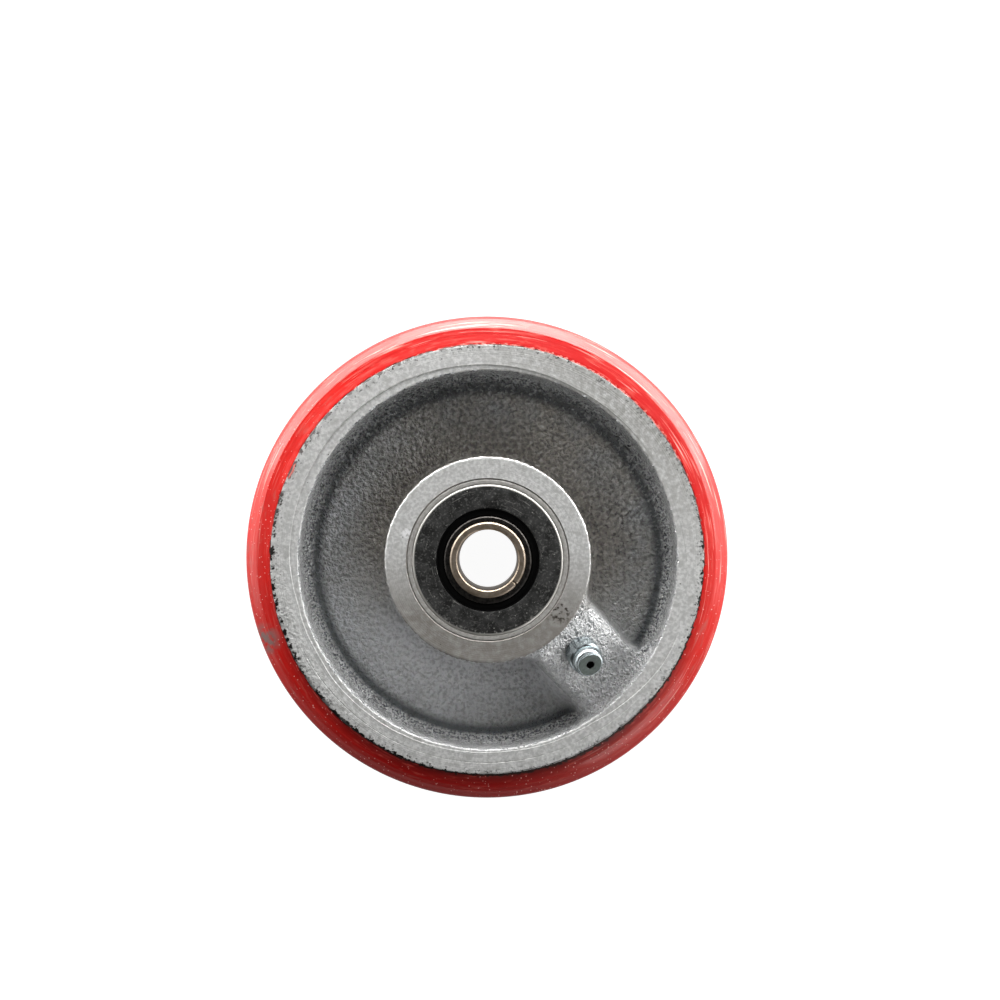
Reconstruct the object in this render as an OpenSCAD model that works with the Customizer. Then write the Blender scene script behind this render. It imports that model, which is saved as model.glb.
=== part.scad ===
// Castor wheel with a bonded polyurethane tread and two tapered roller bearings.
// Z runs along the axle, the face with the grease fitting looks up, and the
// origin is the middle of the axle bore. All sizes are in millimetres.

/* [Tread] */
// Diameter over the tread
tread_d = 152.4; // [150:0.2:156]
// Width of the tread, at the rim
tread_w = 50.4; // [50:0.1:54]
// Diameter of the ridge between the side face and the shoulder
ridge_d = 144.6; // [142:0.2:147]
// Fall of the side face from the rim to the ridge
side_fall = 1.1; // [0.4:0.1:2]
// Fall of the bevelled shoulder from the ridge to its rounded corner
shoulder_fall = 2.4; // [1.6:0.1:3.4]
// Radius of that rounded corner
corner_r = 3; // [1:0.1:5]

/* [Wheel casting] */
// Diameter of the rim, under the tread
rim_d = 135; // [132:0.2:138]
// Width of the rim
rim_w = 50.6; // [46:0.2:50.8]
// Diameter of the inner edge of the rim's machined face
rim_face_in_d = 119.8; // [118:0.2:122]
// Diameter of the shallow turned step in that face
rim_step_d = 124.2; // [122.6:0.2:128]
// Thickness of the web between rim and hub
web_t = 12; // [10:0.5:16]
// Diameter of the hub at its face
hub_d = 64.6; // [62:0.2:67]
// Length of the hub over its machined faces
hub_len = 60.3; // [59:0.1:61.5]
// Draft of the rim's cast walls, in degrees
draft = 12; // [8:1:14]

/* [Grease boss] */
// Direction of the boss round the axle, in degrees
boss_angle = -45; // [-50:1:-40]
// Width of the boss at the hub
boss_w = 22; // [20:0.5:24]
// Extra width of the boss on one side at the rim
boss_flare = 4.2; // [0:0.2:6]
// Distance of the fitting's seat from the axle
seat_r = 41.1; // [40:0.1:43]
// Height of the fitting's seat above the middle of the wheel
seat_z = 22.2; // [21.6:0.1:22.6]
// Lean of the fitting, outwards, in degrees
fitting_lean = 33; // [28:1:34]
// Turn of the fitting's lean from the line through the axle, in degrees
fitting_turn = -12; // [-14:1:0]

/* [Axle sleeve and spacers] */
// Bore for the axle, three quarters of an inch
axle_d = 19.05; // [18.6:0.05:19.5]
// Outer diameter of the sleeve
sleeve_d = 23.8; // [23.6:0.05:24]
// Length of the sleeve
sleeve_len = 63.5; // [63:0.1:66]
// Outer diameter of the spacer ring that the seal runs on
spacer_d = 27.4; // [27:0.1:28]
// Distance of the spacer's face inside the end of the sleeve
spacer_drop = 0.9; // [0.4:0.1:1.4]

/* [Bearings] */
// Outer diameter of the cup
cup_d = 50.3; // [50.1:0.05:50.5]
// Width of the cup
cup_w = 10.7; // [10:0.1:11]
// Width of the cone
cone_w = 14.4; // [14.2:0.1:14.6]
// Number of rollers in each bearing
roller_count = 15; // [13:1:15]
// Middle diameter of a roller
roller_d = 6.1; // [5.8:0.05:6.2]
// Length of a roller
roller_len = 9.4; // [9:0.1:9.6]
// Diameter of the circle through the middles of the rollers
pitch_d = 37.8; // [37.6:0.1:38]
// Slope of a roller's own axis to the axle, in degrees
roller_slope = 11.8; // [11:0.1:12.5]

/* [Seals] */
// Outer diameter of the seal, two inches
seal_d = 50.8; // [50.6:0.1:51]
// Height of the seal
seal_h = 7.6; // [7.4:0.1:7.8]
// Diameter of the dark plate inside the crimped case
plate_d = 47.7; // [47.4:0.1:48]
// Diameter of the hole in the plate
plate_hole_d = 32.4; // [32:0.1:33]

/* [Hidden] */
$fn = 96;
// Clearance of rollers in their races, and of the lip round its spacer
run_gap = 0.03;
lip_gap = 0.05;
pocket_gap = 0.2;

// Heights on the front half of the wheel
hub_z = hub_len / 2;
sleeve_z = sleeve_len / 2;
spacer_z = sleeve_z - spacer_drop;
seal_bottom_z = hub_z - seal_h;
cone_back_z = seal_bottom_z - 0.3;
cone_front_z = cone_back_z - cone_w;
cup_back_z = cone_front_z + 0.5;
cup_front_z = cup_back_z + cup_w;
chamber_z = cup_back_z - 2.4;
chamber_r = 26.5;
shoulder_r = 22.4;
plate_top_z = hub_z + 0.1;
plate_t = 0.9;

// Taper of the bearing: every race and roller points to one apex on the axle
pitch_r = pitch_d / 2;
apex_reach = pitch_r / sin(roller_slope);
half_taper = atan(roller_d / 2 / apex_reach);
cup_slope = roller_slope + half_taper;
cone_slope = roller_slope - half_taper;
roller_mid_z = cone_back_z - 3.6 - roller_len / 2 * cos(roller_slope);
apex_z = roller_mid_z - apex_reach * cos(roller_slope);
small_rib_r = race_r(cone_slope, cone_front_z + 1) + 1.1;

// Grease fitting, measured along its own axis from its seat
collar_r = 5.3;
collar_h = 5.5;
neck_r = 4.4;
neck_h = 0.3;
head_r = 4.8;
fitting_h = 9.1;
stud_r = 3.175;
stud_len = 6.5;
passage_r = 1.6;
check_r = 1.65;
ball_r = 1.5;
inlet_r = 1.18;
inlet_depth = 2;
ball_depth = 2.95;
valve_depth = 10.1;
crimp_r = 1.15;
face_disc_r = 3.75;

front_set = [for (i = [1:roller_count]) str("front_roller_", i)];
rear_set = [for (i = [1:roller_count]) str("rear_roller_", i)];

// Points of an arc, for the outline of a turned or cast section
function arc(x, y, r, from, to, steps = 6) =
    [for (i = [0:steps]) let (a = from + (to - from) * i / steps) [x + r * cos(a), y + r * sin(a)]];

function mirrored(points) = [for (i = [len(points) - 1:-1:0]) [points[i][0], -points[i][1]]];

// Radius of a cone of revolution that points to the bearing's apex
function race_r(slope, z) = (z - apex_z) * tan(slope);

// Turns what follows into the matching part behind the wheel
module behind() {
    rotate([180, 0, 0]) children();
}

// Tread: side faces that fall away to a crisp ridge, and on each side a bevelled
// shoulder with a rounded corner
module tread() {
    rim_r = rim_d / 2;
    ridge_r = ridge_d / 2;
    out_r = tread_d / 2;
    ridge_z = tread_w / 2 - side_fall;
    start = 46;
    corner_z = ridge_z - shoulder_fall - corner_r * sin(start);
    half = concat(
        [[rim_r, tread_w / 2], [(rim_r + ridge_r) / 2 + 0.3, tread_w / 2 - side_fall * 0.35],
         [ridge_r, ridge_z]],
        arc(out_r - corner_r, corner_z, corner_r, start, 0));
    color([0.86, 0.13, 0.12])
    rotate_extrude($fn = 180)
    polygon(concat(half, mirrored(half)));
}

// Section of the casting's front half, from the grease chamber out to the tread
function core_half() =
    let (
        web_z = web_t / 2,
        face_z = rim_w / 2,
        hub_r = hub_d / 2,
        hub_foot_r = hub_r + (hub_z - web_z) * tan(2),
        wall_r = rim_face_in_d / 2,
        step_r = rim_step_d / 2,
        step_h = 0.15,
        foot = 5,
        foot_x = wall_r - (face_z - web_z - foot) * tan(draft) - foot)
    concat(
        [[chamber_r, chamber_z - 1.2], [chamber_r - 1.2, chamber_z], [shoulder_r, chamber_z],
         [shoulder_r, cup_back_z], [cup_d / 2, cup_back_z], [cup_d / 2, seal_bottom_z],
         [seal_d / 2, seal_bottom_z], [seal_d / 2, hub_z - 0.25], [seal_d / 2 + 0.25, hub_z]],
        arc(hub_r - 0.8, hub_z - 0.8, 0.8, 90, 2, 4),
        arc(hub_foot_r + 3, web_z + 3, 3, 178, 270),
        arc(foot_x, web_z + foot, foot, -90, -draft, 8),
        [[wall_r - 0.15, face_z - 0.3], [wall_r + 0.15, face_z], [step_r - 0.15, face_z],
         [step_r, face_z + step_h], [rim_d / 2, face_z + step_h]]);

// Outline of the boss seen from the front, with X along its own direction
module boss_plan() {
    half_w = boss_w / 2;
    rim_x = rim_d / 2 - 3;
    polygon(concat(
        [[hub_d / 2 - 3, -half_w], [hub_d / 2 - 3, half_w]],
        arc(52, half_w + 4.5, 4.5, -90, -25, 5),
        [[rim_x, half_w + 3], [rim_x, -half_w - boss_flare - 3]],
        arc(52.5, -half_w - boss_flare - 4.5, 4.5, 25, 72, 4),
        [[42, -half_w - 0.6]]));
}

// Side view of the boss: its top falls away from the hub at the fitting's lean,
// then rises in a cast fillet into the wall of the rim
module boss_side() {
    fillet = 6;
    start_x = hub_d / 2 - 3;
    end_x = rim_face_in_d / 2 + 0.8;
    top_x = end_x - fillet;
    top_z = seat_z - (top_x - seat_r) * tan(fitting_lean) + fillet / cos(fitting_lean);
    polygon(concat(
        [[start_x, 0], [start_x, seat_z + (seat_r - start_x) * tan(fitting_lean)]],
        arc(top_x, top_z, fillet, -90 - fitting_lean, -20, 8),
        [[end_x, 0]]));
}

// Cast fillet along the foot of one side of the boss, 3 mm high
module boss_foot(side) {
    r = 3;
    translate([hub_d / 2 - 1, side * (boss_w / 2 - 0.1), web_t / 2])
    rotate([90, 0, 90])
    mirror([side > 0 ? 0 : 1, 0, 0])
    linear_extrude(25)
    polygon(concat([[-1, -1], [r, -1]], arc(r, r, r - 0.1, -90, -180, 4), [[-1, r]]));
}

// Bevels one long top edge of the boss, parallel to its sloping top
module boss_edge_cutter(side) {
    bevel = 1.3;
    translate([seat_r, side * (boss_w / 2 + 0.1), seat_z + 0.1])
    rotate([0, fitting_lean, 0])
    rotate([45, 0, 0])
    translate([-15, -bevel, -bevel])
    cube([28, 2 * bevel, 2 * bevel]);
}

module boss_solid() {
    difference() {
        intersection() {
            linear_extrude(hub_z) boss_plan();
            rotate([90, 0, 0]) linear_extrude(4 * boss_w, center = true) boss_side();
        }
        for (side = [-1, 1]) boss_edge_cutter(side);
    }
    for (side = [-1, 1]) boss_foot(side);
}

// Puts what follows on the fitting's seat, with Z along the fitting
module at_fitting() {
    off_centre = 0.5;
    rotate([0, 0, boss_angle])
    translate([seat_r, off_centre, seat_z])
    rotate([0, 0, fitting_turn])
    rotate([0, fitting_lean, 0])
    children();
}

// Casting: rim, web, hub and grease boss in one piece, with its machined bores,
// the spot face and tapped hole of the fitting and the passage to the chamber
module wheel_core() {
    half = core_half();
    hole_len = stud_len + 1;
    passage_reach = 31;
    color([0.72, 0.73, 0.74])
    difference() {
        union() {
            rotate_extrude($fn = 180) polygon(concat(half, mirrored(half)));
            rotate([0, 0, boss_angle]) boss_solid();
        }
        at_fitting() {
            cylinder(r = collar_r + 0.7, h = 12);
            translate([0, 0, -hole_len]) cylinder(r = stud_r, h = hole_len + 1);
            translate([0, 0, -passage_reach]) cylinder(r = passage_r, h = passage_reach - hole_len + 1);
        }
    }
}

// Sleeve: clamped in the fork, carries both cones; one small nick in its front edge
module axle_sleeve() {
    r = sleeve_d / 2;
    bore_r = axle_d / 2;
    color([0.45, 0.38, 0.31])
    difference() {
        rotate_extrude()
        polygon([[bore_r, -sleeve_z + 0.4], [bore_r + 0.4, -sleeve_z],
                 [r - 0.5, -sleeve_z], [r, -sleeve_z + 0.5],
                 [r, sleeve_z - 0.5], [r - 0.5, sleeve_z],
                 [bore_r + 0.4, sleeve_z], [bore_r, sleeve_z - 0.4]]);
        rotate([0, 0, -40.6]) translate([r - 0.6, -0.3, sleeve_z - 0.75]) cube([1.2, 0.6, 1.5]);
    }
}

// Spacer: holds the cone against the fork, and the seal's lips run on it
module spacer() {
    color([0.2, 0.2, 0.2])
    rotate_extrude()
    polygon([[sleeve_d / 2, cone_back_z], [spacer_d / 2, cone_back_z], [spacer_d / 2, spacer_z - 0.4],
             [spacer_d / 2 - 0.4, spacer_z], [sleeve_d / 2, spacer_z]]);
}

// Seal case: outer steel ring with a flange at its inner end
module seal_case() {
    r = seal_d / 2;
    wall_in = plate_d / 2;
    flange_in = spacer_d / 2 + 4.9;
    flange_z = seal_bottom_z + 1;
    top = hub_z - 0.1;
    color([0.42, 0.4, 0.38])
    rotate_extrude()
    polygon([[flange_in, seal_bottom_z], [r, seal_bottom_z], [r, top - 0.35], [r - 0.35, top],
             [wall_in, top], [wall_in, flange_z], [flange_in, flange_z]]);
}

// Seal plate: dark inner case, a shallow pressed cup with a rounded shoulder
module seal_plate() {
    r = plate_d / 2;
    inner_r = r - plate_t;
    under = plate_top_z - plate_t;
    hole = plate_hole_d / 2;
    color([0.2, 0.2, 0.21])
    rotate_extrude()
    polygon(concat(
        [[hole, under], [hole, plate_top_z - 0.2], [hole + 0.2, plate_top_z]],
        arc(inner_r, under, plate_t, 90, 0, 5),
        [[r, seal_bottom_z + 1], [inner_r, seal_bottom_z + 1],
         [inner_r, under - 0.4], [inner_r - 0.4, under]]));
}

// Seal lip: rubber moulded under the plate, with an outer dust lip and a sprung main lip
module seal_lip() {
    run_r = spacer_d / 2 + lip_gap;
    under = plate_top_z - plate_t;
    outer = plate_d / 2 - 1.3;
    hole = plate_hole_d / 2;
    color([0.05, 0.05, 0.05])
    rotate_extrude()
    polygon([
        [outer, under], [hole - 0.3, under], [hole - 0.7, under - 0.5],
        [run_r + 0.5, under - 0.3], [run_r, under - 0.5], [run_r, under - 0.8],
        [run_r + 0.6, under - 1.1], [hole - 0.9, under - 1.5],
        [run_r + 1, seal_bottom_z + 3.4], [run_r, seal_bottom_z + 2.6], [run_r, seal_bottom_z + 2.3],
        [run_r + 1.2, seal_bottom_z + 1.3], [run_r + 1.6, seal_bottom_z + 1.3],
        [run_r + 1.6, seal_bottom_z + 1.75], [run_r + 1.25, seal_bottom_z + 2.1],
        [run_r + 1.25, seal_bottom_z + 2.75], [run_r + 1.75, seal_bottom_z + 3.1],
        [run_r + 2.3, seal_bottom_z + 3.5], [hole + 0.5, under - 1], [outer, under - 1]]);
}

// Garter spring round the main lip, drawn as the plain ring that its fine turns fill
module seal_spring() {
    color([0.6, 0.6, 0.6])
    rotate_extrude()
    translate([spacer_d / 2 + lip_gap + 1.86, seal_bottom_z + 2.42]) circle(r = 0.6, $fn = 24);
}

// Cup: outer race, pressed in the hub up to its shoulder
module bearing_cup() {
    r = cup_d / 2;
    color([0.7, 0.7, 0.7])
    rotate_extrude()
    polygon([[race_r(cup_slope, cup_back_z), cup_back_z], [r - 0.6, cup_back_z], [r, cup_back_z + 0.6],
             [r, cup_front_z - 0.4], [r - 0.4, cup_front_z], [race_r(cup_slope, cup_front_z), cup_front_z]]);
}

// Point in the section, given by its distance from the apex along a roller's axis
// and its height above that axis
function along(reach, lift) = [
    reach * sin(roller_slope) + lift * cos(roller_slope),
    apex_z + reach * cos(roller_slope) - lift * sin(roller_slope)];

// Cone: inner race with a large rib behind the rollers and a small one before them
module bearing_cone() {
    bore_r = sleeve_d / 2;
    small_end = apex_reach - roller_len / 2;
    large_end = apex_reach + roller_len / 2 + run_gap;
    race_lift = -tan(half_taper);
    rib = along(large_end, -0.9);
    race_start = along(small_end - 0.25, race_lift * (small_end - 0.25));
    race_stop = along(large_end, race_lift * large_end);
    color([0.72, 0.72, 0.72])
    rotate_extrude()
    polygon([
        [bore_r, cone_front_z], [small_rib_r - 0.3, cone_front_z], [small_rib_r, cone_front_z + 0.3],
        [small_rib_r, race_start[1] - 0.15], race_start, race_stop,
        rib, [rib[0], cone_back_z - 0.4], [rib[0] - 0.4, cone_back_z], [bore_r, cone_back_z]]);
}

// Roller profile turned round its own axis, which lies along Z from the apex
module roller_form(grow, end_gap) {
    small_end = apex_reach - roller_len / 2 - end_gap;
    large_end = apex_reach + roller_len / 2 + end_gap;
    edge = grow > 0 ? 0 : 0.25;
    small_r = small_end * tan(half_taper) + grow;
    large_r = large_end * tan(half_taper) + grow;
    rotate_extrude($fn = 48)
    polygon([[0, small_end], [small_r - edge, small_end], [small_r, small_end + edge],
             [large_r, large_end - edge], [large_r - edge, large_end], [0, large_end]]);
}

module at_roller(i) {
    rotate([0, 0, 360 / roller_count * (i - 1)])
    translate([0, 0, apex_z])
    rotate([0, roller_slope, 0])
    children();
}

module roller(i) {
    color([0.8, 0.8, 0.8]) at_roller(i) roller_form(-run_gap, 0);
}

// Cage: tapered steel basket outside the rollers' own circle, one pocket for each
// roller, turned in at its narrow end
module roller_cage() {
    t = 0.8;
    lift = 0.7;
    near = apex_reach - roller_len / 2 - 1.5;
    far = apex_reach + roller_len / 2 + 1.4;
    flange_r = small_rib_r + 0.35;
    near_out = along(near, lift + t);
    near_in = along(near + t, lift);
    color([0.5, 0.5, 0.5])
    difference() {
        rotate_extrude()
        polygon([along(far, lift), along(far, lift + t), near_out, [flange_r, near_out[1]],
                 [flange_r, near_in[1]], near_in]);
        for (i = [1:roller_count]) at_roller(i) roller_form(pocket_gap, pocket_gap);
    }
}

// Body of the grease fitting: collar, neck and tapering head, a proud face disc, and
// a stepped bore for the check ball and its spring
module grease_fitting_body() {
    color([0.68, 0.71, 0.72])
    at_fitting()
    rotate_extrude()
    polygon([
        [crimp_r, -stud_len], [stud_r - 0.4, -stud_len], [stud_r, -stud_len + 0.4], [stud_r, 0],
        [collar_r - 0.3, 0], [collar_r, 0.3], [collar_r, collar_h - 0.5], [collar_r - 0.4, collar_h],
        [neck_r, collar_h], [neck_r, collar_h + neck_h], [head_r - 0.2, collar_h + neck_h],
        [head_r, collar_h + neck_h + 0.2], [head_r, fitting_h - 1.5], [head_r - 0.5, fitting_h - 0.6],
        [face_disc_r, fitting_h - 0.5], [face_disc_r, fitting_h - 0.08], [face_disc_r - 0.08, fitting_h],
        [inlet_r + 0.15, fitting_h], [inlet_r, fitting_h - 0.15], [inlet_r, fitting_h - inlet_depth],
        [check_r, fitting_h - inlet_depth - 0.47], [check_r, -stud_len + 0.6], [crimp_r, -stud_len + 0.5]]);
}

module grease_fitting_ball() {
    color([0.8, 0.8, 0.8])
    at_fitting() translate([0, 0, fitting_h - ball_depth]) sphere(r = ball_r, $fn = 48);
}

// Check spring: a helix of round wire swept as one closed surface
module grease_fitting_spring() {
    wire_r = 0.2;
    coil_r = 1.3;
    turns = 6;
    sides = 8;
    steps = turns * 16;
    top = fitting_h - ball_depth - ball_r - wire_r - 0.02;
    rings = [for (s = [0:steps]) let (
        turn = 360 * turns * s / steps,
        z = top - valve_depth * s / steps)
        for (k = [0:sides - 1]) let (a = 360 * k / sides)
            let (r = coil_r + wire_r * cos(a)) [r * cos(turn), r * sin(turn), z + wire_r * sin(a)]];
    walls = [for (s = [0:steps - 1]) for (k = [0:sides - 1]) let (n = (k + 1) % sides)
        [s * sides + k, s * sides + n, (s + 1) * sides + n, (s + 1) * sides + k]];
    caps = [[for (k = [sides - 1:-1:0]) k], [for (k = [0:sides - 1]) steps * sides + k]];
    color([0.75, 0.75, 0.75])
    at_fitting() polyhedron(rings, concat(walls, caps));
}

tread();
wheel_core();
axle_sleeve();
seal_case();  // front_seal_case
seal_plate();  // front_seal_plate
seal_lip();  // front_seal_lip
seal_spring();  // front_seal_spring
spacer();  // front_spacer
bearing_cup();  // front_bearing_cup
bearing_cone();  // front_bearing_cone
roller_cage();  // front_roller_cage
for (i = [1:roller_count]) roller(i);
behind() seal_case();  // rear_seal_case
behind() seal_plate();  // rear_seal_plate
behind() seal_lip();  // rear_seal_lip
behind() seal_spring();  // rear_seal_spring
behind() spacer();  // rear_spacer
behind() bearing_cup();  // rear_bearing_cup
behind() bearing_cone();  // rear_bearing_cone
behind() roller_cage();  // rear_roller_cage
for (i = [1:roller_count]) behind() roller(i);
grease_fitting_body();
grease_fitting_ball();
grease_fitting_spring();
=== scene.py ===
"""Looks of a castor wheel with a bonded polyurethane tread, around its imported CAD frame."""

import math

import bmesh
import bpy
import numpy as np
from mathutils import Matrix, Vector, noise


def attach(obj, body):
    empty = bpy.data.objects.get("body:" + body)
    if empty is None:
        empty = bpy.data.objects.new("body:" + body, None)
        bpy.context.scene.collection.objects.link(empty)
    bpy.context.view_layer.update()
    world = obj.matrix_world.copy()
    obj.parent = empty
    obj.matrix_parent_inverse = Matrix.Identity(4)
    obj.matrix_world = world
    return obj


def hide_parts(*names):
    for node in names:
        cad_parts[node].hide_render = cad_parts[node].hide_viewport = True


MM = 0.001

# Sizes of the wheel in millimetres: radii from the axle, heights from the middle of the wheel
TREAD_R = 76.2
TREAD_Z = 25.2
RIDGE_R = 72.3
SIDE_FALL = 1.35
SHOULDER_FALL = 2.4
RIM_R = 67.9
RIM_Z = 25.3
FACE_IN_R = 59.9
STEP_R = 62.1
GROOVE_R = 64.0
RIM_DRAFT = math.radians(2.5)
RIM_FOOT = 5.7
WEB_Z = 6.0
HUB_R = 32.3
HUB_Z = 30.15
HUB_DRAFT = math.radians(2)
HUB_WALL_TOP = 0.9
SLEEVE_Z = 31.75
SLEEVE_R = 11.9
BORE_R = 9.525
SPACER_R = 13.7
SPACER_Z = 30.85
CUP_R = 25.15
SEAL_R = 25.4
SEAL_BOTTOM_Z = 22.55
PLATE_R = 23.85
PLATE_Z = 30.25
PLATE_HOLE_R = 16.2
PLATE_T = 0.9
CUP_BACK_Z = 8.35
CHAMBER_R = 26.5
CHAMBER_Z = 5.95
SHOULDER_R = 22.4
CONE_BACK_Z = 22.25

# Grease boss and its fitting; the seat's place is along the boss, across it and up
BOSS_TURN = math.radians(-45)
BOSS_RIGHT = 12.0
BOSS_LEFT = 11.0
FLARE_START_R = 49.5
SEAT = (41.1, 0.5, 22.2)
FITTING_LEAN = math.radians(33)
FITTING_TURN = math.radians(-12)
COLLAR_R = 5.3
COLLAR_H = 5.5
NECK_R = 4.4
NECK_H = 0.3
HEAD_R = 4.8
FACE_R = 3.75
FITTING_H = 9.1
STUD_R = 3.175
STUD_LEN = 6.5
INLET_R = 1.18
CHECK_R = 1.65
CRIMP_R = 1.15

TREAD_STEPS = 1200
CASTING_STEPS = 560
RING_STEPS = 320
SMALL_RING_STEPS = 256
FITTING_STEPS = 192
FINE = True

# Where the camera stands over the wheel, and how the photograph is framed
CAMERA_AT = (1.0, 9.4, 950.0)
LENS_MM = 105.8
FRAME_SHIFT = (0.009, 0.030)


# Outlines

def arc(x, y, r, start, stop, steps):
    """Points of an arc in a turned outline, angles in degrees."""
    angles = [math.radians(start + (stop - start) * i / steps) for i in range(steps + 1)]
    return [(x + r * math.cos(a), y + r * math.sin(a)) for a in angles]


def line(start, stop, steps):
    """Points between two corners of an outline, without the corners."""
    return [(start[0] + (stop[0] - start[0]) * i / steps, start[1] + (stop[1] - start[1]) * i / steps)
            for i in range(1, steps)]


def turned(outline, steps, rounding=0.0):
    """Spins a closed outline of (radius, height) points round the axle; corners that carry a
    third number are rounded by it, in millimetres."""
    bm = bmesh.new()
    corners = [bm.verts.new((point[0] * MM, 0, point[1] * MM)) for point in outline]
    bm.faces.new(corners)
    for corner, point in zip(corners, outline):
        size = point[2] if len(point) > 2 else rounding
        if size:
            bmesh.ops.bevel(bm, geom=[corner], offset=size * MM, offset_type="OFFSET", segments=3,
                            profile=0.5, affect="VERTICES", clamp_overlap=True, material=-1)
    bmesh.ops.delete(bm, geom=bm.faces[:], context="FACES_ONLY")
    bmesh.ops.spin(bm, geom=bm.verts[:] + bm.edges[:], cent=(0, 0, 0), axis=(0, 0, 1), dvec=(0, 0, 0),
                   angle=math.tau, steps=steps if FINE else steps // 2, use_merge=True,
                   use_normal_flip=False, use_duplicate=False)
    bmesh.ops.recalc_face_normals(bm, faces=bm.faces[:])
    return bm


def as_piece(bm, name, body, node, materials, sharp=32):
    """Makes a mesh from bm and a piece from the mesh."""
    mesh = bpy.data.meshes.new(name)
    bm.to_mesh(mesh)
    bm.free()
    for material in materials:
        mesh.materials.append(material)
    return finish_piece(mesh, name, body, node, sharp)


def finish_piece(mesh, name, body, node, sharp):
    """Shades a mesh smooth between its real edges and lets it ride for a CAD node."""
    mesh.shade_smooth()
    mesh.set_sharp_from_angle(angle=math.radians(sharp))
    piece = bpy.data.objects.new(name, mesh)
    bpy.context.collection.objects.link(piece)
    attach(piece, body)
    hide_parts(node)
    return piece


def bumps(place, *layers):
    """Noise at a place on the object, as the sum of layers: how many bumps go in a metre and how
    much each layer weighs."""
    return sum(weight * noise.noise(place * pitch) for pitch, weight in layers)


def turn_over(bm):
    """Turns a front piece into its twin behind the wheel."""
    bmesh.ops.rotate(bm, verts=bm.verts[:], cent=(0, 0, 0), matrix=Matrix.Rotation(math.pi, 3, "X"))


# Tread

def bond_shift(turn):
    """How far the bond line wanders outwards at a turn in degrees, in millimetres."""
    return np.interp(turn % 360, [0, 45, 90, 135, 180, 225, 270, 315, 360],
                     [0.2, -0.1, -0.1, 0.5, 0.65, 0.4, -0.5, -0.5, 0.2])


def tread_piece(material):
    """Tread: crowned side faces that fall to a crisp ridge, chamfered shoulders that steepen
    outwards, and a trimmed edge along the wandering bond line, with one flap left on the rim. Its
    ridge and running surface stand a little off centre, as they were cast."""
    ridge_z = TREAD_Z - SIDE_FALL
    shoulder_w = TREAD_R - RIDGE_R - 0.9
    shoulder = [(RIDGE_R, ridge_z, 0.12)]
    for i in range(1, 13):
        f = i / 12
        fall = SHOULDER_FALL * (0.8 * f + 0.2 * f * f)
        shoulder.append((RIDGE_R + shoulder_w * f, ridge_z - fall))
    corner_z = ridge_z - SHOULDER_FALL - 0.75
    shoulder += [(TREAD_R - 0.45, corner_z + 0.25), (TREAD_R - 0.15, corner_z - 0.35),
                 (TREAD_R, corner_z - 1.2)]
    face = [(RIM_R, TREAD_Z - 1.2), (RIM_R + 0.1, TREAD_Z - 0.16), (RIM_R + 0.5, TREAD_Z - 0.18),
            (RIM_R + 1.2, TREAD_Z - 0.36), (RIM_R + 2.2, TREAD_Z - 0.67), (RIM_R + 3.3, TREAD_Z - 1.02)]
    half = face + shoulder
    bm = turned(half + [(p[0], -p[1]) + tuple(p[2:]) for p in reversed(half)], TREAD_STEPS)
    rings = [70.0, RIDGE_R, TREAD_R - 1]
    for v in bm.verts:
        r = math.hypot(v.co.x, v.co.y) / MM
        turn = math.degrees(math.atan2(v.co.y, v.co.x))
        out = Vector((v.co.x, v.co.y, 0)).normalized()
        v.co.x += np.interp(r, rings, [0, -0.4, -0.3]) * MM
        v.co.y += np.interp(r, rings, [0, 0.75, 0.85]) * MM
        if r < RIM_R + 2 and abs(v.co.z) > 23 * MM:
            near = 1 - max(0, r - RIM_R - 0.3) / 1.7
            v.co += out * bond_shift(turn) * near * MM
        if r < RIM_R + 0.8 and abs(v.co.z) > 24 * MM:
            ragged = bumps(v.co, (120, 0.4), (480, 1), (1100, 0.9))
            flap = max(0, 1 - abs(turn - 155.5) / 5) ** 0.5 if v.co.z > 0 else 0
            v.co += out * (ragged * 0.28 - 1.4 * flap) * MM
            v.co.z += 0.7 * flap * MM
    return as_piece(bm, "tread_skin", "wheel", "tread", [material])


# Casting

def rim_foot_r():
    """Radius at which the recess floor starts to rise into the rim's wall."""
    return FACE_IN_R - (RIM_Z - WEB_Z - RIM_FOOT) * math.tan(RIM_DRAFT) - RIM_FOOT


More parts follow.
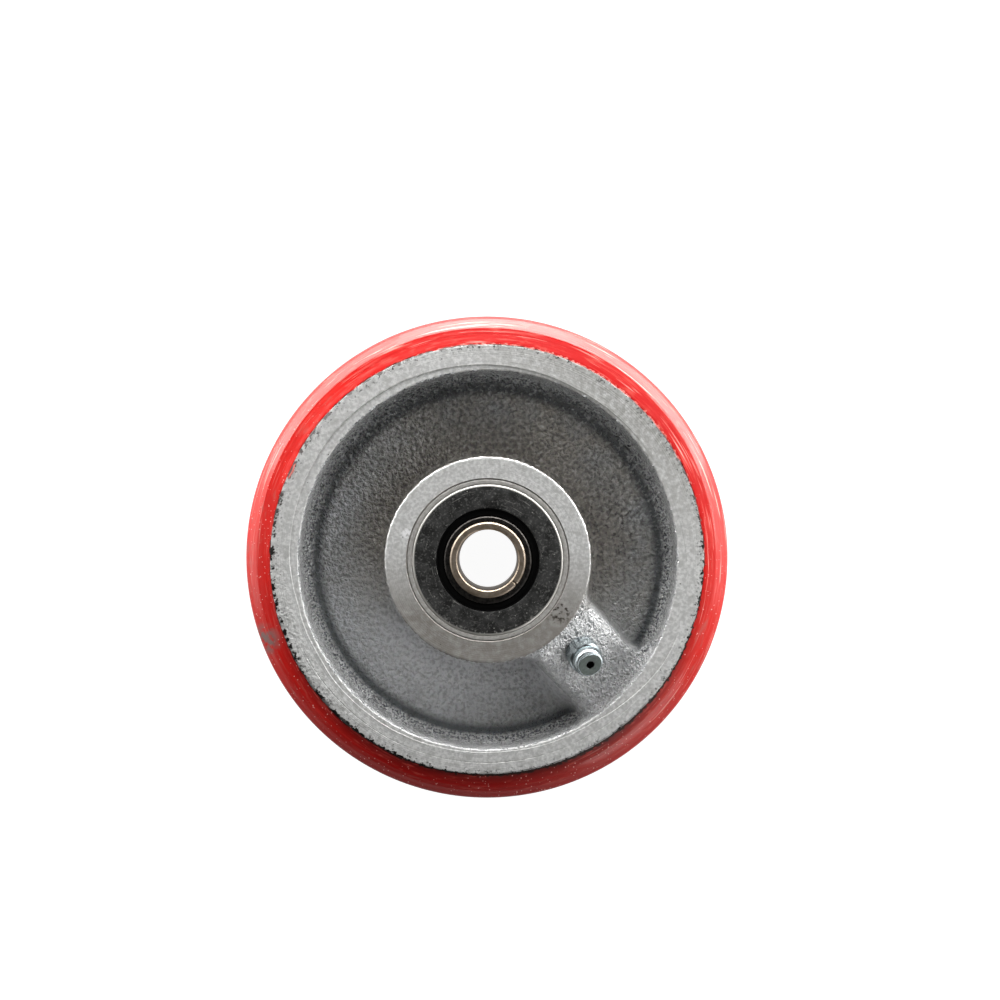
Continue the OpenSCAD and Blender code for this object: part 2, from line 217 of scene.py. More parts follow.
def core_outline(close):
    """Half outline of the casting, from the grease chamber out to the tread; close points in the
    walls and floor of the front recess let the grease boss be raised from them."""
    wall_top = (HUB_R, HUB_Z - HUB_WALL_TOP)
    foot_r = HUB_R + (HUB_Z - WEB_Z) * math.tan(HUB_DRAFT)
    hub_foot = arc(foot_r + 3, WEB_Z + 3, 3, 178, 270, 7)
    rim_foot = arc(rim_foot_r(), WEB_Z + RIM_FOOT, RIM_FOOT, -90, -math.degrees(RIM_DRAFT), 16)
    rim_top = (FACE_IN_R - 0.22, RIM_Z - 0.3)
    return ([(CHAMBER_R, 0), (CHAMBER_R, CHAMBER_Z - 1.2), (CHAMBER_R - 1.2, CHAMBER_Z),
             (SHOULDER_R, CHAMBER_Z), (SHOULDER_R, CUP_BACK_Z), (CUP_R, CUP_BACK_Z),
             (CUP_R, SEAL_BOTTOM_Z), (SEAL_R, SEAL_BOTTOM_Z), (SEAL_R, HUB_Z - 0.25), (SEAL_R + 0.25, HUB_Z),
             (HUB_R - 1.3, HUB_Z - 0.02), (HUB_R - 0.75, HUB_Z)]
            + arc(HUB_R - 0.5, HUB_Z - 0.5, 0.5, 80, 2, 4)
            + line(wall_top, hub_foot[0], 22 if close else 2) + hub_foot
            + line(hub_foot[-1], rim_foot[0], 22 if close else 2) + rim_foot
            + line(rim_foot[-1], rim_top, 14 if close else 2)
            + [rim_top, (FACE_IN_R + 0.16, RIM_Z), (FACE_IN_R + 0.29, RIM_Z), (STEP_R - 0.3, RIM_Z),
               (STEP_R - 0.14, RIM_Z), (STEP_R, RIM_Z + 0.15), (STEP_R + 0.16, RIM_Z + 0.15)]
            + [(GROOVE_R + off, RIM_Z + 0.15) for off in (-0.3, -0.14, 0, 0.14, 0.3)]
            + [(RIM_R - 0.8, RIM_Z + 0.15), (RIM_R - 0.45, RIM_Z + 0.15), (RIM_R - 0.1, RIM_Z + 0.06),
               (RIM_R, RIM_Z - 0.5)])


def soft_min(a, b, k):
    """Smaller of two distances, blended over k where they are near each other."""
    h = np.maximum(k - np.abs(a - b), 0) / k
    return np.minimum(a, b) - h * h * k / 4


def boss_distance(u, v, z):
    """Distance to the grease boss, with u along it and v across it, in millimetres; its left flank
    leans out ever more towards the rim, its right one flares into the rim's wall."""
    depth = SEAT[2] - (u - SEAT[0]) * math.tan(FITTING_LEAN) - z
    right_lean = 0.12
    left_lean = 0.1 + np.clip((u - 35) / 14, 0, 1) * 0.45
    flare = np.maximum(u - FLARE_START_R, 0) ** 2 / 10
    right = v - (BOSS_RIGHT + depth * right_lean + flare)
    left = -v - (BOSS_LEFT + depth * left_lean)
    top = -depth * math.cos(FITTING_LEAN)
    return -soft_min(-top, soft_min(-right, -left, 2.0), 2.6)


def raise_boss(bm):
    """Raises the grease boss from the floor of the front recess, with cast fillets all round."""
    picked = [v for v in bm.verts
              if 5.9 * MM < v.co.z < (HUB_Z - 0.85) * MM
              and HUB_R - 0.01 < math.hypot(v.co.x, v.co.y) / MM < FACE_IN_R - 0.15]
    x = np.array([v.co.x for v in picked]) / MM
    y = np.array([v.co.y for v in picked]) / MM
    base = np.array([v.co.z for v in picked]) / MM
    r = np.hypot(x, y)
    along = x * math.cos(BOSS_TURN) + y * math.sin(BOSS_TURN)
    across = -x * math.sin(BOSS_TURN) + y * math.cos(BOSS_TURN)

    def outside(z):
        hub = r - (HUB_R + (HUB_Z - HUB_WALL_TOP - z) * math.tan(HUB_DRAFT))
        rim = (FACE_IN_R - (RIM_Z - z) * math.tan(RIM_DRAFT) - r) * math.cos(RIM_DRAFT)
        casting = np.minimum(np.minimum(hub, rim), z - WEB_Z)
        boss = boss_distance(along, across, z)
        return np.minimum(soft_min(casting, boss, 3.6), soft_min(rim, boss, 8.0))

    z = np.full_like(base, HUB_Z + 1.5)
    for _ in range(90):
        z = np.maximum(z - np.maximum(outside(z), 0) * 0.8, base)
    z = np.clip(z, base, np.maximum(base, HUB_Z - 1.0))
    for v, height, u, w in zip(picked, z, along, across):
        if u > 0 and abs(w) < 24:
            v.co.z = height * MM


def fitting_cutter():
    """Spot face, tapped hole and grease passage as one stepped plug on the fitting's seat."""
    bm = bmesh.new()
    passage_r, passage_end, seat_face_r, above = 1.6, -32.5, 6.0, 12
    outline = [(0, passage_end), (passage_r, passage_end), (passage_r, -STUD_LEN - 1),
               (STUD_R, -STUD_LEN - 1), (STUD_R, 0), (seat_face_r, 0), (seat_face_r, above), (0, above)]
    points = [bm.verts.new((r * MM, 0, z * MM)) for r, z in outline]
    for a, b in zip(points, points[1:]):
        bm.edges.new((a, b))
    bmesh.ops.spin(bm, geom=bm.verts[:] + bm.edges[:], cent=(0, 0, 0), axis=(0, 0, 1), dvec=(0, 0, 0),
                   angle=math.tau, steps=64, use_merge=True, use_normal_flip=False, use_duplicate=False)
    bmesh.ops.remove_doubles(bm, verts=bm.verts[:], dist=0.001 * MM)
    bmesh.ops.recalc_face_normals(bm, faces=bm.faces[:])
    bmesh.ops.transform(bm, matrix=on_seat(), verts=bm.verts[:])
    mesh = bpy.data.meshes.new("fitting_cutter")
    bm.to_mesh(mesh)
    bm.free()
    return bpy.data.objects.new("fitting_cutter", mesh)


def bore_fitting_hole(mesh):
    """Cuts the plug from the casting and returns the cut mesh."""
    casting = bpy.data.objects.new("uncut_casting", mesh)
    cutter = fitting_cutter()
    for part in (casting, cutter):
        bpy.context.collection.objects.link(part)
    cut = casting.modifiers.new("fitting_hole", "BOOLEAN")
    cut.operation = "DIFFERENCE"
    cut.solver = "EXACT"
    cut.object = cutter
    bpy.context.view_layer.update()
    result = bpy.data.meshes.new_from_object(casting.evaluated_get(bpy.context.evaluated_depsgraph_get()))
    for part in (casting, cutter):
        bpy.data.objects.remove(part)
    return result


def wear_rim_face(v, r, out):
    """Moves one point of the rim's face: the step that the facing tool left wanders in and out and
    fades away twice, a fine groove runs beside it low on the wheel, and the edge is ragged."""
    turn = math.degrees(math.atan2(v.co.y, v.co.x)) % 360
    front = v.co.z > 0
    stops = [0, 25, 63, 112, 140, 180, 195, 230, 275, 303, 330, 340, 360]
    step_r = np.interp(turn, stops, [62.5, 61.0, 60.6, 62.2, 63.0, 62.5, 61.2, 61.4, 60.6, 61.0, 64.2, 64.3,
                                     62.5])
    step_h = np.interp(turn, stops, [0.15, 0, 0.3, 0.3, 0.32, 0.15, 0.22, 0.26, 0.4, 0.4, 0.4, 0.08,
                                     0.15])
    groove_r = np.interp(turn, [205, 270, 300, 321], [64.7, 63.8, 63.7, 64.6])
    shift = 0
    if -0.7 < r - STEP_R < 0.3:
        broken = noise.noise(v.co * 90) * (0.5 if 195 < turn < 250 else 0.12)
        shift = step_r - STEP_R + broken + noise.noise(v.co * 700) * 0.06
    elif abs(r - GROOVE_R) < 0.35:
        shift = max(groove_r - GROOVE_R, step_r - STEP_R - 1.4)
        if abs(r - GROOVE_R) < 0.05 and front:
            v.co.z -= 0.16 * MM * max(0, min(1, (turn - 205) / 8, (321 - turn) / 8))
    elif r > RIM_R - 0.6:
        shift = bond_shift(turn) + noise.noise(v.co * 480) * 0.12 + noise.noise(v.co * 1500) * 0.1
    v.co += out * shift * MM
    if r > STEP_R - 0.05 and front:
        v.co.z += (step_h - 0.15) * MM


def core_piece(cast, turned_face, bare):
    """Casting: rim, web and hub in one piece, with the boss, ragged edges where the turned faces
    meet the cast walls, and the spot face and tapped hole of the fitting."""
    rear = [(r, -z) for r, z in reversed(core_outline(False)[1:])]
    bm = turned(core_outline(True) + rear, CASTING_STEPS)
    for v in bm.verts:
        # More of the spin's steps gather round the boss
        r = math.hypot(v.co.x, v.co.y)
        turn = math.atan2(v.co.y, v.co.x) - BOSS_TURN
        turn += BOSS_TURN - 0.62 * math.sin(turn)
        v.co.x, v.co.y = r * math.cos(turn), r * math.sin(turn)
    raise_boss(bm)
    for v in bm.verts:
        r = math.hypot(v.co.x, v.co.y) / MM
        out = Vector((v.co.x, v.co.y, 0)).normalized()
        if r > FACE_IN_R + 0.5 and abs(v.co.z) > 24 * MM:
            wear_rim_face(v, r, out)
        elif abs(r - FACE_IN_R) < 0.32 and abs(v.co.z) > 24 * MM:
            v.co += out * bumps(v.co, (300, 0.5), (700, 1), (1500, 0.7)) * 0.26 * MM
        elif abs(r - HUB_R + 0.3) < 0.5 and abs(v.co.z) > 28.9 * MM:
            v.co += out * bumps(v.co, (700, 0.3), (1500, 0.6), (2600, 0.6)) * 0.4 * MM
            v.co.z += math.copysign(0.03 * MM * noise.noise(v.co * 800), v.co.z)
    mesh = bpy.data.meshes.new("casting")
    bm.to_mesh(mesh)
    bm.free()
    cut = bore_fitting_hole(mesh)
    cut.materials.clear()
    for material in (cast, turned_face, bare):
        cut.materials.append(material)
    for face in cut.polygons:
        r = math.hypot(face.center.x, face.center.y) / MM
        z = abs(face.center.z) / MM
        flat = (z > HUB_Z - 0.35 and r > SEAL_R + 0.2) or (z > RIM_Z - 0.35 and r > FACE_IN_R - 0.05)
        face.material_index = 1 if flat else 2 if r < HUB_R - 1.5 and z < HUB_Z - 0.1 else 0
    return finish_piece(cut, "wheel_casting", "wheel", "wheel_core", sharp=40)


# Sleeve, spacers and seals

def sleeve_piece(material):
    """Sleeve: ground tube with a chamfer at each end and one small nick in its front edge."""
    half = [(BORE_R, SLEEVE_Z - 0.4, 0.08), (BORE_R + 0.4, SLEEVE_Z, 0.08), (SLEEVE_R - 0.5, SLEEVE_Z, 0.1),
            (SLEEVE_R, SLEEVE_Z - 0.5, 0.1)]
    bm = turned(half + [(r, -z, b) for r, z, b in reversed(half)], RING_STEPS)
    for v in bm.verts:
        turn = math.degrees(math.atan2(v.co.y, v.co.x)) + 40.6
        depth = 1 - abs(turn) / 1.6
        if depth > 0 and v.co.z > 30.5 * MM and math.hypot(v.co.x, v.co.y) > 11.2 * MM:
            v.co.z -= 0.45 * depth * MM
            v.co.xy *= 1 - 0.03 * depth
    return as_piece(bm, "axle_sleeve_skin", "axle_set", "axle_sleeve", [material])


def spacer_form():
    """Spacer: blackened ring against the cone, with one chamfered outer edge."""
    return turned([(SLEEVE_R, CONE_BACK_Z), (SPACER_R, CONE_BACK_Z), (SPACER_R, SPACER_Z - 0.4, 0.1),
                   (SPACER_R - 0.4, SPACER_Z, 0.1), (SLEEVE_R, SPACER_Z)], SMALL_RING_STEPS)


def seal_case_form():
    """Seal case: drawn steel ring, crimped down round the plate."""
    flange_r = SPACER_R + 4.9
    top = HUB_Z - 0.1
    return turned([(flange_r, SEAL_BOTTOM_Z), (SEAL_R, SEAL_BOTTOM_Z), (SEAL_R, top - 0.35, 0.1),
                   (SEAL_R - 0.35, top, 0.1), (PLATE_R, top, 0.1), (PLATE_R, SEAL_BOTTOM_Z + 1),
                   (flange_r, SEAL_BOTTOM_Z + 1)], RING_STEPS)


def seal_plate_form():
    """Seal plate: dark pressed cup whose rounded shoulder stands just above its case."""
    under = PLATE_Z - PLATE_T
    wall_in_r = PLATE_R - PLATE_T
    return turned([(PLATE_HOLE_R, under), (PLATE_HOLE_R, PLATE_Z - 0.2, 0.08),
                   (PLATE_HOLE_R + 0.2, PLATE_Z, 0.08)]
                  + arc(wall_in_r, under, PLATE_T, 90, 0, 8)
                  + [(PLATE_R, SEAL_BOTTOM_Z + 1), (wall_in_r, SEAL_BOTTOM_Z + 1),
                     (wall_in_r, under - 0.4), (PLATE_R - 1.3, under)], RING_STEPS)


def seal_lip_form():
    """Seal lip: moulded rubber with a dust lip and a sprung main lip."""
    run_r = SPACER_R + 0.05
    under = PLATE_Z - PLATE_T
    hole = PLATE_HOLE_R
    base = SEAL_BOTTOM_Z
    return turned([
        (PLATE_R - 1.3, under), (hole - 0.3, under, 0.1), (hole - 0.7, under - 0.5),
        (run_r + 0.5, under - 0.3, 0.08), (run_r, under - 0.5), (run_r, under - 0.8),
        (run_r + 0.6, under - 1.1), (hole - 0.9, under - 1.5), (run_r + 1, base + 3.4),
        (run_r, base + 2.6), (run_r, base + 2.3), (run_r + 1.2, base + 1.3), (run_r + 1.6, base + 1.3),
        (run_r + 1.6, base + 1.75), (run_r + 1.25, base + 2.1), (run_r + 1.25, base + 2.75),
        (run_r + 1.75, base + 3.1), (run_r + 2.3, base + 3.5), (hole + 0.5, under - 1),
        (PLATE_R - 1.3, under - 1)], SMALL_RING_STEPS)


# Grease fitting

def on_seat():
    """Place of the fitting: its own Z lies along its lean, its origin on the seat."""
    return (Matrix.Rotation(BOSS_TURN, 4, "Z") @ Matrix.Translation(Vector(SEAT) * MM)
            @ Matrix.Rotation(FITTING_TURN, 4, "Z") @ Matrix.Rotation(FITTING_LEAN, 4, "Y"))


def fitting_piece(plating, dull, greased_and_shaded):
    neck_z = COLLAR_H + NECK_H
    bm = turned([
        (CRIMP_R, -STUD_LEN), (STUD_R - 0.4, -STUD_LEN), (STUD_R, -STUD_LEN + 0.4), (STUD_R, 0),
        (COLLAR_R - 0.3, 0), (COLLAR_R, 0.3), (COLLAR_R, COLLAR_H - 0.6),
        (COLLAR_R - 0.5, COLLAR_H, 0.25), (NECK_R, COLLAR_H, 0.05), (NECK_R, neck_z, 0.05),
        (HEAD_R - 0.25, neck_z, 0.1), (HEAD_R, neck_z + 0.25, 0.1), (HEAD_R, FITTING_H - 1.5, 0.4),
        (HEAD_R - 0.5, FITTING_H - 0.55, 0.15), (FACE_R, FITTING_H - 0.5),
        (FACE_R, FITTING_H - 0.06, 0.05), (FACE_R - 0.08, FITTING_H), (INLET_R + 0.2, FITTING_H, 0.1),
        (INLET_R, FITTING_H - 0.15), (INLET_R, FITTING_H - 2), (CHECK_R, FITTING_H - 2.47),
        (CHECK_R, -STUD_LEN + 0.6), (CRIMP_R, -STUD_LEN + 0.5)], FITTING_STEPS)
    for face in bm.faces:
        centre = face.calc_center_median() / MM
        middle = math.hypot(centre.x, centre.y)
        # The inlet's bore: grease black, and painted shade inside the hole
        if middle < INLET_R + 0.06:
            face.material_index = 2
        elif centre.z > FITTING_H - 0.03 and middle < FACE_R:
            face.material_index = 1
    bmesh.ops.transform(bm, matrix=on_seat(), verts=bm.verts[:])
    return as_piece(bm, "grease_fitting_skin", "wheel", "grease_fitting_body", [plating, dull, greased_and_shaded])


# Materials

def srgb(code):
    """Turns a hex colour, as it is seen, into the linear colour that a shader takes."""
    parts = [int(code[i:i + 2], 16) / 255 for i in (1, 3, 5)]
    return [p / 12.92 if p <= 0.04045 else ((p + 0.055) / 1.055) ** 2.4 for p in parts] + [1.0]


def add_node(tree, kind, inputs, output=0, **settings):
    """Adds one shader node with its settings; inputs go by socket name or number and are values or
    other nodes' outputs. Returns the output that is asked for."""
    node = tree.nodes.new("ShaderNode" + kind)
    for key, value in settings.items():
        setattr(node, key, value)
    for socket, value in inputs.items():
        if isinstance(value, bpy.types.NodeSocket):
            tree.links.new(value, node.inputs[socket])
        else:
            node.inputs[socket].default_value = value
    return node.outputs[output]


def new_material(name, metallic, roughness):
    """Starts a material; its constants sit on the shader's own sockets."""
    material = bpy.data.materials.new(name)
    material.use_nodes = True
    tree = material.node_tree
    shader = tree.nodes["Principled BSDF"]
    shader.inputs["Metallic"].default_value = metallic
    shader.inputs["Roughness"].default_value = roughness
    return material, tree, shader, add_node(tree, "TexCoord", {}, "Object")


def blotches(tree, place, size_mm, low, high, detail=3.0):
    """Mask of irregular patches about size_mm across: 0 below low, 1 above high."""
    cloud = add_node(tree, "TexNoise", {"Vector": place, "Scale": 1 / (size_mm * MM), "Detail": detail})
    return add_node(tree, "MapRange", {"Value": cloud, "From Min": low, "From Max": high})


def axle_distance(tree, place):
    """Distance from the axle, in metres."""
    flat = add_node(tree, "VectorMath", {0: place, 1: (1, 1, 0)}, operation="MULTIPLY")
    return add_node(tree, "VectorMath", {0: flat}, "Value", operation="LENGTH")


def ring_zone(tree, radius, start_mm, full_mm):
    """Mask that rises from 0 at one radius to 1 at another."""
    return add_node(tree, "MapRange", {"Value": radius, "From Min": start_mm * MM, "From Max": full_mm * MM})


def ring_streaks(tree, place, radius, pitch_mm, length_mm):
    """Cloud drawn out round the axle: streaks about length_mm long and pitch_mm apart, wider on the
    running surface, where they lie one above the other."""
    flat = add_node(tree, "VectorMath", {0: place, 1: (1, 1, 0)}, operation="MULTIPLY")
    way = add_node(tree, "VectorMath", {0: flat}, operation="NORMALIZE")
    way = add_node(tree, "VectorMath", {0: way, 3: TREAD_R / length_mm}, operation="SCALE")
    height = add_node(tree, "SeparateXYZ", {"Vector": place}, "Z")
    depth = add_node(tree, "Math", {0: height, 1: -0.2, 2: radius}, operation="MULTIPLY_ADD")
    depth = add_node(tree, "Math", {0: depth, 1: 1 / (pitch_mm * MM)}, operation="MULTIPLY")
    lift = add_node(tree, "CombineXYZ", {"Z": depth})
    spot = add_node(tree, "VectorMath", {0: way, 1: lift}, operation="ADD")
    return add_node(tree, "TexNoise", {"Vector": spot, "Scale": 1.0, "Detail": 3.0})


def ragged_zone(tree, place, radius, start_mm, width_mm, grain_mm):
    """Mask outside one radius whose edge is broken up by grains; a width below 0 turns it inwards."""
    cloud = add_node(tree, "TexNoise", {"Vector": place, "Scale": 1 / (grain_mm * MM), "Detail": 2.0})
    ramp = ring_zone(tree, radius, start_mm, start_mm + width_mm)
    level = add_node(tree, "Math", {0: cloud, 1: ramp}, operation="ADD")
    return add_node(tree, "MapRange", {"Value": level, "From Min": 0.92, "From Max": 1.02})


def slope_zone(tree, place, turn, start_mm, full_mm):
    """Mask that rises from 0 to 1 along one compass turn across the wheel."""
    way = (math.cos(math.radians(turn)), math.sin(math.radians(turn)), 0)
    along = add_node(tree, "VectorMath", {0: place, 1: way}, "Value", operation="DOT_PRODUCT")
    return add_node(tree, "MapRange", {"Value": along, "From Min": start_mm * MM, "From Max": full_mm * MM})


def specks(tree, place, spacing_mm, size_mm, share):
    """Round grains of about size_mm, spacing_mm apart, of which only a share is there."""
    cells = tree.nodes.new("ShaderNodeTexVoronoi")
    cells.inputs["Scale"].default_value = 1 / (spacing_mm * MM)
    tree.links.new(place, cells.inputs["Vector"])
    edge = size_mm / spacing_mm / 2
    grain = add_node(tree, "MapRange", {"Value": cells.outputs["Distance"],
                                        "From Min": edge, "From Max": edge * 0.6})
    pick = add_node(tree, "SeparateColor", {"Color": cells.outputs["Color"]}, "Red")
    chosen = add_node(tree, "Math", {0: pick, 1: share}, operation="LESS_THAN")
    return both(tree, grain, chosen)


def local_zone(tree, place, centre_mm, reach_mm):
    """Mask round one place on the object, 1 there and 0 from reach_mm on."""
    centre = tuple(c * MM for c in centre_mm)
    away = add_node(tree, "VectorMath", {0: place, 1: centre}, "Value", operation="DISTANCE")
    return add_node(tree, "MapRange", {"Value": away, "From Min": reach_mm * MM,
                                       "From Max": reach_mm * 0.4 * MM})


def both(tree, first, second):
    """Product of two masks."""
    return add_node(tree, "Math", {0: first, 1: second}, operation="MULTIPLY")


def either(tree, first, second):
    """Greater of two masks."""
    return add_node(tree, "Math", {0: first, 1: second}, operation="MAXIMUM")


def tinted(tree, mask, under, over):
    """Colour under where the mask is 0, over where it is 1."""
    return add_node(tree, "Mix", {0: mask, 6: under, 7: over}, 2, data_type="RGBA")


def lathe_lines(tree, radius, pitch_mm):
    """Height of the fine grooves that a lathe tool leaves, about pitch_mm apart."""
    return add_node(tree, "TexNoise", {"W": radius, "Scale": 1 / (pitch_mm * MM), "Detail": 2.0},
                    noise_dimensions="1D")


def relief(tree, shader, *layers):
    """Joins bump layers, each a height and its depth in millimetres, into the shader's normal."""
    normal = None
    for height, depth_mm in layers:
        inputs = {"Height": height, "Distance": depth_mm * MM, "Strength": 1.0}
        if normal:
            inputs["Normal"] = normal
        normal = add_node(tree, "Bump", inputs)
    tree.links.new(normal, shader.inputs["Normal"])


def cast_polyurethane():
    """Cast polyurethane, trimmed on a lathe: a deep red body under a clear glossy skin, darker by
    painted shade towards the bottom, most next to the rim, and a little towards the upper right;
    broken chalky rings on its trimmed sides and shoulders, where the tool rubbed, kept off the bottom
    and joined by pale streaks on the upper right, both partly painted sheen; grains of dust, one grey
    smear low on the left, and a painted shadow below and painted highlight above along the bond line."""
    material, tree, shader, place = new_material("cast_polyurethane_red", 0.0, 0.36)
    radius = axle_distance(tree, place)
    rings = lathe_lines(tree, radius, 0.8)
    height = add_node(tree, "SeparateXYZ", {"Vector": place}, "Z")
    height = add_node(tree, "Math", {0: height}, operation="ABSOLUTE")
    turned_part = add_node(tree, "MapRange", {"Value": height, "From Min": 19.8 * MM,
                                              "From Max": 21.2 * MM})
    streaks = ring_streaks(tree, place, radius, 0.4, 14)
    body = tinted(tree, blotches(tree, place, 16.0, 0.35, 0.7), srgb("#CE100B"), srgb("#DE1810"))
    # Painted shade: the body darkens towards the bottom of the wheel
    body = tinted(tree, slope_zone(tree, place, -90, 28, 76), body, srgb("#A00201"))
    # Painted shade: a little darker towards the upper right
    body = tinted(tree, slope_zone(tree, place, 60, 10, 66), body, srgb("#B40E12"))
    # Painted shadow: darkest low on the side face next to the rim
    deep = both(tree, slope_zone(tree, place, -90, 5, 60), ring_zone(tree, radius, 71.5, 68.5))
    body = tinted(tree, deep, body, srgb("#6C0101"))
    # Chalky lathe rings, kept off the bottom of the wheel: partly wear, partly painted sheen
    chalk_and_sheen = add_node(tree, "MapRange", {"Value": streaks, "From Min": 0.52, "From Max": 0.68})
    chalk_and_sheen = both(tree, chalk_and_sheen, blotches(tree, place, 11.0, 0.4, 0.62))
    chalk_and_sheen = both(tree, chalk_and_sheen, slope_zone(tree, place, 90, -75, -30))
    rubbed = tinted(tree, both(tree, chalk_and_sheen, turned_part), body, srgb("#D84740"))
    # Pale crisp streaks on the upper right: lathe streaks with a painted highlight
    crisp = add_node(tree, "MapRange", {"Value": ring_streaks(tree, place, radius, 0.55, 22),
                                        "From Min": 0.61, "From Max": 0.69})
    crisp = both(tree, crisp, slope_zone(tree, place, 65, -70, 25))
    rubbed = tinted(tree, both(tree, crisp, turned_part), rubbed, srgb("#F09A90"))
    scuff = add_node(tree, "MapRange", {"Value": ring_streaks(tree, place, radius, 1.0, 5),
                                        "From Min": 0.54, "From Max": 0.72})
    scuff = both(tree, scuff, blotches(tree, place, 9.0, 0.44, 0.58))
    rubbed = tinted(tree, both(tree, scuff, turned_part), rubbed, srgb("#C2463E"))
    grit = either(tree, specks(tree, place, 1.5, 0.5, 0.4), specks(tree, place, 0.9, 0.34, 0.3))
    grit = both(tree, grit, slope_zone(tree, place, -105, -45, -5))
    dusty = tinted(tree, grit, rubbed, srgb("#EFA79F"))
    smear = local_zone(tree, place, (-70.0, -25.2, 22.6), 6.0)
    smear = both(tree, smear, blotches(tree, place, 2.0, 0.35, 0.55))
    smeared = tinted(tree, smear, dusty, srgb("#8A6C68"))
    # Painted shadow along the bond line below, painted highlight above
    tread_bond_shadow_highlight = tinted(tree, slope_zone(tree, place, 90, -10, 40), srgb("#240302"), srgb("#E88A80"))
    trimmed = tinted(tree, ragged_zone(tree, place, radius, 69.2, -2.4, 1.1), smeared, tread_bond_shadow_highlight)
    tree.links.new(trimmed, shader.inputs["Base Color"])
    rough = add_node(tree, "MapRange", {"Value": streaks, "From Min": 0.35, "From Max": 0.65,
                                        "To Min": 0.3, "To Max": 0.46})
    tree.links.new(rough, shader.inputs["Roughness"])
    shader.inputs["IOR"].default_value = 1.5
    shader.inputs["Specular IOR Level"].default_value = 0.55
    shader.inputs["Specular Tint"].default_value = (1.0, 0.88, 0.78, 1)
    shader.inputs["Coat Weight"].default_value = 0.3
    shader.inputs["Coat Roughness"].default_value = 0.1
    fine = add_node(tree, "TexNoise", {"Vector": place, "Scale": 1 / (1.0 * MM), "Detail": 3.0})
    relief(tree, shader, (rings, 0.05), (streaks, 0.03), (fine, 0.04))
    return material


